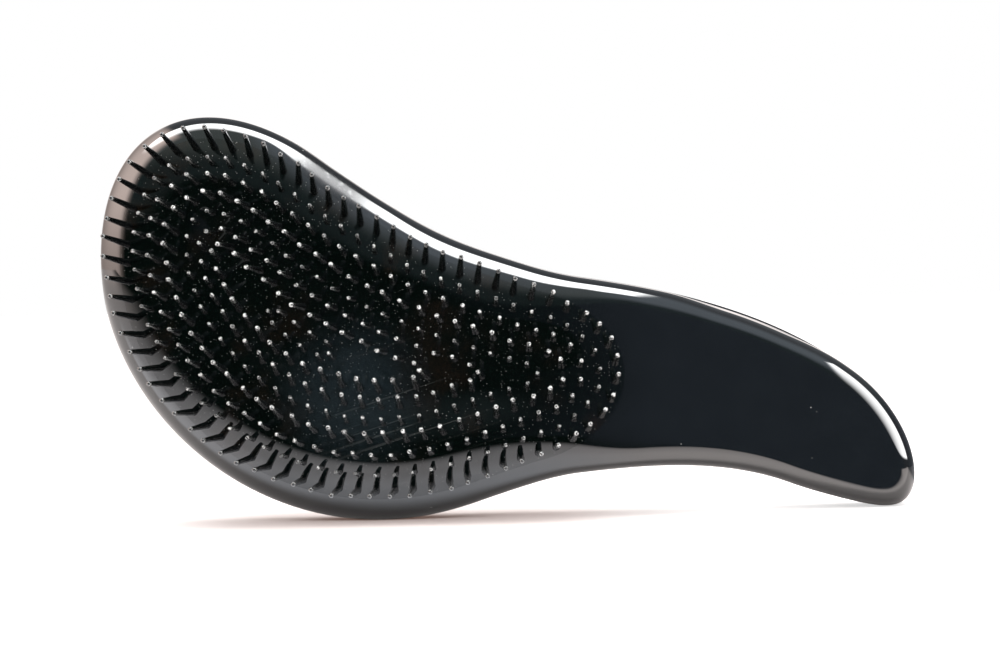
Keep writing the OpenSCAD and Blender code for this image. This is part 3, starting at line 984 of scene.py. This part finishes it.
def borrow_normals(piece, skin):
    """Takes the shading of the uncut skin, so that a cut edge doesn't show on the face."""
    apply_modifier(
        piece, "DATA_TRANSFER", object=skin, use_loop_data=True, data_types_loops={"CUSTOM_NORMAL"},
        loop_mapping="POLYINTERP_NEAREST", use_max_distance=True, max_distance=NORMAL_REACH)


def remove(*pieces):
    """Deletes helper pieces."""
    for piece in pieces:
        bpy.data.objects.remove(piece)


def hand_over(piece, node):
    """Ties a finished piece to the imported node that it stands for."""
    if not piece.data.polygons:
        raise RuntimeError(f"{piece.name} has no faces")
    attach(piece, BODY)
    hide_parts(node)


def shape_of(context):
    """The body's shape for the sizes set in the scene."""
    return BodyShape(context.scene.brush_body, context.scene.brush_pad)


def cut_from_face(name, shape, wall, inset, operation):
    """A plate of the front, inside or outside a line at an inset. Returns it with the uncut skin."""
    skin = loft("skin", shape.front_rings(), FORWARD)
    piece = copy_of(skin, name)
    thicken(piece, wall)
    cutter = prism("cutter", shape.pad_line(inset), shape)
    apply_modifier(piece, "BOOLEAN", operation=operation, object=cutter, solver="EXACT")
    smooth_by_angle(piece)
    borrow_normals(piece, skin)
    remove(cutter)
    return piece, skin


class PADDLE_OT_front_shell(bpy.types.Operator):
    """Lofts the front shell, with its window for the pad"""

    bl_idname = "paddle.front_shell"
    bl_label = "Front shell"

    def execute(self, context):
        shape = shape_of(context)
        finishes = context.scene.brush_finishes
        inset = shape.pad.margin
        piece, skin = cut_from_face("gloss_front_shell", shape, shape.body.wall, inset, "DIFFERENCE")
        remove(skin)
        piece.data.materials.append(shell_gloss("front_gloss", finishes))
        hand_over(piece, "front_shell")
        return {"FINISHED"}


class PADDLE_OT_back_shell(bpy.types.Operator):
    """Lofts the domed back shell"""

    bl_idname = "paddle.back_shell"
    bl_label = "Back shell"

    def execute(self, context):
        shape = shape_of(context)
        finishes = context.scene.brush_finishes
        piece = loft("gloss_back_shell", shape.back_rings(), BACKWARD)
        thicken(piece, shape.body.wall)
        smooth_by_angle(piece)
        piece.data.materials.append(shell_gloss("back_gloss", finishes))
        hand_over(piece, "back_shell")
        return {"FINISHED"}


def bristle_rows(pad, reach):
    """Heights and radii of a bristle: flared root, long taper and ball tip."""
    slim = mix(pad.slim, 1, (reach - pad.short_l) / (pad.long_l - pad.short_l))
    root, neck, ball = slim * pad.root_d / 2, slim * pad.neck_d / 2, slim * pad.tip_d / 2
    return [
        (-pad.root_sink, root + pad.fillet),
        (0, root + pad.fillet / 2),
        (2 * pad.fillet, root),
        (reach - pad.smoke_l, mix(neck, root, pad.smoke_l / reach)),
        (reach - BALL_NECK * ball, neck),
        *((reach - depth * ball, radius * ball) for depth, radius in BALL_ROWS),
    ]


def write_values(piece, name, values):
    """Gives each vertex a value that a shader can read."""
    layer = piece.data.attributes.new(name, "FLOAT", "POINT")
    for item, value in zip(layer.data, values):
        item.value = value


def model_bristle(name, reach, pad, material):
    """One bristle along +Z, with its root at the origin."""
    rows = bristle_rows(pad, reach)
    bpy.ops.object.select_all(action="DESELECT")
    bpy.ops.mesh.primitive_circle_add(
        vertices=BRISTLE_SIDES, radius=rows[0][1], fill_type="NOTHING")
    piece = bpy.context.object
    piece.name = name
    bpy.ops.object.mode_set(mode="EDIT")
    bpy.ops.mesh.select_all(action="SELECT")
    bpy.ops.transform.translate(value=(0, 0, rows[0][0]))
    for (low, wide), (high, narrow) in zip(rows, rows[1:]):
        bpy.ops.mesh.extrude_edges_indiv()
        bpy.ops.transform.translate(value=(0, 0, high - low))
        share = narrow / wide
        bpy.ops.transform.resize(value=(share, share, 1), center_override=(0, 0, high))
    bpy.ops.mesh.edge_face_add()
    bpy.ops.mesh.poke(offset=reach - rows[-1][0])
    bpy.ops.mesh.select_all(action="SELECT")
    bpy.ops.mesh.normals_make_consistent(inside=False)
    bpy.ops.object.mode_set(mode="OBJECT")
    bpy.ops.object.shade_smooth()
    places = [vert.co.copy() for vert in piece.data.vertices]
    write_values(piece, "tip_share", [max(0.0, 1 - (reach - at.z) / pad.smoke_l) for at in places])
    # Every other side of a bristle gets the painted highlight stripes.
    sides = [round(math.atan2(at.y, at.x) / math.tau * BRISTLE_SIDES) for at in places]
    write_values(piece, "painted_highlight_stripe", [side % 2 for side in sides])
    piece.data.materials.append(material)
    return piece


def plant_bristles(shape, skin, material):
    """Copies of the three bristles, each with a slight stray lean and its own paleness at the tip."""
    pad = shape.pad
    kinds = [
        model_bristle("bristle_long", pad.long_l, pad, material),
        model_bristle("bristle_short", pad.short_l, pad, material),
        model_bristle("bristle_medium", pad.medium_l, pad, material),
    ]
    corners = [vert.co for vert in skin.data.vertices]
    face = BVHTree.FromPolygons(corners, [polygon.vertices for polygon in skin.data.polygons])
    chance = random.Random(pad.seed)
    planted = []
    for point, inward, ring in shape.strand_places():
        above = Vector(shape.placed(point[None, :], 3 * shape.body.front_d)[0])
        root = face.ray_cast(above, BACKWARD)[0]
        if root is None:
            raise RuntimeError(f"a bristle of ring {ring} misses the face")
        direction = shape.strand_direction(point, inward)
        for axis in ("X", "Z"):
            direction.rotate(Matrix.Rotation(chance.uniform(-pad.stray, pad.stray), 3, axis))
        twin = copy_of(kinds[ring % len(kinds)], "bristle")
        turn = direction.to_track_quat("Z", "Y").to_matrix().to_4x4()
        twin.matrix_world = Matrix.Translation(root) @ turn
        # The paleness is random within its ring's range; the outer rings' darker ranges are painted shade,
        # and the outer ring's paler end is painted light.
        shade = chance.uniform(*TIP_TONES_AND_PAINTED_LIGHT[min(ring, len(TIP_TONES_AND_PAINTED_LIGHT) - 1)])
        if ring == 0:
            shade += pad.end_painted_light * float(ease((point[0] - pad.end_painted_light_from) / pad.end_l))
        write_values(twin, "tip_tone_and_painted_light", [shade] * len(twin.data.vertices))
        planted.append(twin)
    remove(*kinds)
    return planted


class PADDLE_OT_bristle_pad(bpy.types.Operator):
    """Cuts the pad to its window and plants the bristles on it"""

    bl_idname = "paddle.bristle_pad"
    bl_label = "Bristle pad"

    def execute(self, context):
        shape = shape_of(context)
        finishes = context.scene.brush_finishes
        inset = shape.pad.margin + shape.pad.seam
        piece, skin = cut_from_face("bristled_pad", shape, shape.pad.thickness, inset, "INTERSECT")
        piece.data.materials.append(pad_gloss("pad_gloss", finishes))
        planted = plant_bristles(shape, skin, bristle_nylon("bristle_nylon", finishes))
        remove(skin)
        only(piece)
        for bristle in planted:
            bristle.select_set(True)
        bpy.ops.object.join()
        hand_over(piece, "bristle_pad")
        return {"FINISHED"}


# Softness of a lamp's even edges, and ramps along the lamp for its near edge's softness and place
EVEN = (0.1, 0.1, 0.1)
EVEN_FRONT = ((0, 1), (0.1, 0.1))
STRAIGHT = ((0, 1), (0, 0))

# Two lamps light the surfaces and two are seen in the gloss. Sizes are in metres, turns in degrees
LAMPS = [
    {"name": "key", "place": (-0.02, 0.03, 0.5), "turn": (0, 0, 0), "size": (0.7, 0.3), "radiance": 4},
    {"name": "fill", "place": (-0.05, -0.6, 0.38), "turn": (58, 0, 0), "size": (0.9, 0.4), "radiance": 3},
    {
        "name": "top_softbox", "place": (-0.157, -0.1, 0.35), "turn": (0, 0, 0), "size": (0.6, 0.22),
        "radiance": 13, "soft": (0.3, 0.04, 0.08), "front": ((0.5, 0.72), (0.28, 0.16)),
        "near": ((0.78, 0.9), (0.43, 0)), "in_gloss": True,
    },
    {
        "name": "window", "place": (0.45, -0.285, 0.228), "turn": (0, 90, 0), "size": (0.385, 0.67),
        "radiance": 10, "soft": (0.13, 0.03, 0.06), "front": ((0, 1), (0.85, 0.85)),
        "slant": (0.816, 0.571), "in_gloss": True,
    },
]


def add_softbox(
        name, place, turn, size, radiance,
        soft=EVEN, front=EVEN_FRONT, near=STRAIGHT, slant=(0, 0), in_gloss=False):
    """A rectangular lamp that the camera doesn't see, for the gloss alone or for the surfaces alone.

    soft: shares of its size over which the left, right and rear edges fade.
    front, near: ramps along it, for the near edge's softness and for how far that edge is cut back.
    slant: slope of the left edge, and how far that edge is moved.
    """
    lamp = bpy.data.lights.new(name, "AREA")
    lamp.shape = "RECTANGLE"
    lamp.size, lamp.size_y = size
    lamp.energy = radiance * math.pi * size[0] * size[1]
    shader = Shader(lamp)
    u, v, _ = shader.axes(shader.node("NewGeometry").out("Parametric"))
    left, right, rear = soft
    slope, move = slant
    across = shader.ramp(u + v * slope - move, (0, left)) * shader.ramp(u, (1, 1 - right))
    depth = v - shader.ramp(u, *near)
    along = shader.ramp(depth, (0, shader.ramp(u, *front))) * shader.ramp(v, (1, 1 - rear))
    lit = shader.blend(across * along, BLACK, WHITE)
    shader.surface(shader.node("Emission", {"Color": lit}), "OutputLight")
    box = bpy.data.objects.new(name, lamp)
    box.location = place
    box.rotation_euler = [math.radians(t) for t in turn]
    box.visible_camera = False
    box.visible_glossy = in_gloss
    box.visible_diffuse = not in_gloss
    bpy.context.scene.collection.objects.link(box)


def add_camera(scene, stage):
    """The camera at the photograph's view."""
    camera = bpy.data.objects.new("camera", bpy.data.cameras.new("camera"))
    camera.data.lens = camera.data.sensor_width * stage.camera_far / stage.view_w
    turn = Matrix.Rotation(math.pi / 2 - stage.camera_rise, 4, "X")
    turn = turn @ Matrix.Rotation(-stage.camera_roll, 4, "Z")
    back = turn.to_3x3() @ Vector((0, 0, stage.camera_far))
    camera.matrix_world = Matrix.Translation(Vector(stage.aim) + back) @ turn
    scene.collection.objects.link(camera)
    scene.camera = camera


class PADDLE_OT_stage(bpy.types.Operator):
    """Adds the floor, the soft light and the camera"""

    bl_idname = "paddle.stage"
    bl_label = "Stage"

    def execute(self, context):
        scene = context.scene
        stage = scene.brush_stage
        bpy.ops.object.select_all(action="DESELECT")
        middle_y = (stage.floor_far - stage.floor_near) / 2
        bpy.ops.mesh.primitive_plane_add(size=1, location=(0, middle_y, 0))
        floor = context.object
        floor.name = "floor"
        floor.scale = (stage.floor_w, stage.floor_far + stage.floor_near, 1)
        bpy.ops.object.transform_apply(location=True, rotation=False, scale=True)
        floor.data.materials.append(floor_white("floor_white", scene.brush_finishes, stage))
        for lamp in LAMPS:
            add_softbox(**lamp)
        studio_world(scene)
        scene.view_settings.view_transform = "Standard"
        add_camera(scene, stage)
        return {"FINISHED"}


class PADDLE_PT_panel(bpy.types.Panel):
    """The brush's operators and sizes"""

    bl_label = "Paddle brush"
    bl_idname = "PADDLE_PT_panel"
    bl_space_type = "VIEW_3D"
    bl_region_type = "UI"
    bl_category = "Paddle brush"

    def draw(self, context):
        for operator in OPERATORS:
            self.layout.operator(operator.bl_idname)
        for group in GROUPS:
            settings = getattr(context.scene, group)
            column = self.layout.column(heading=group)
            for name in settings.bl_rna.properties.keys():
                if name not in ("rna_type", "name"):
                    column.prop(settings, name)


GROUPS = {
    "brush_body": BodySizes,
    "brush_pad": PadSizes,
    "brush_finishes": Finishes,
    "brush_stage": StageSizes,
}
OPERATORS = [PADDLE_OT_front_shell, PADDLE_OT_back_shell, PADDLE_OT_bristle_pad, PADDLE_OT_stage]
CLASSES = [*GROUPS.values(), *OPERATORS, PADDLE_PT_panel]


def register():
    """Registers the classes and hangs the settings on the scene."""
    for each in CLASSES:
        bpy.utils.register_class(each)
    for name, group in GROUPS.items():
        setattr(bpy.types.Scene, name, PointerProperty(type=group))


def unregister():
    """Takes the settings and the classes away again."""
    for name in GROUPS:
        delattr(bpy.types.Scene, name)
    for each in reversed(CLASSES):
        bpy.utils.unregister_class(each)


def main():
    """Makes the pieces and the stage in order."""
    register()
    bpy.ops.paddle.front_shell()
    bpy.ops.paddle.back_shell()
    bpy.ops.paddle.bristle_pad()
    bpy.ops.paddle.stage()


if __name__ == "__main__":
    main()
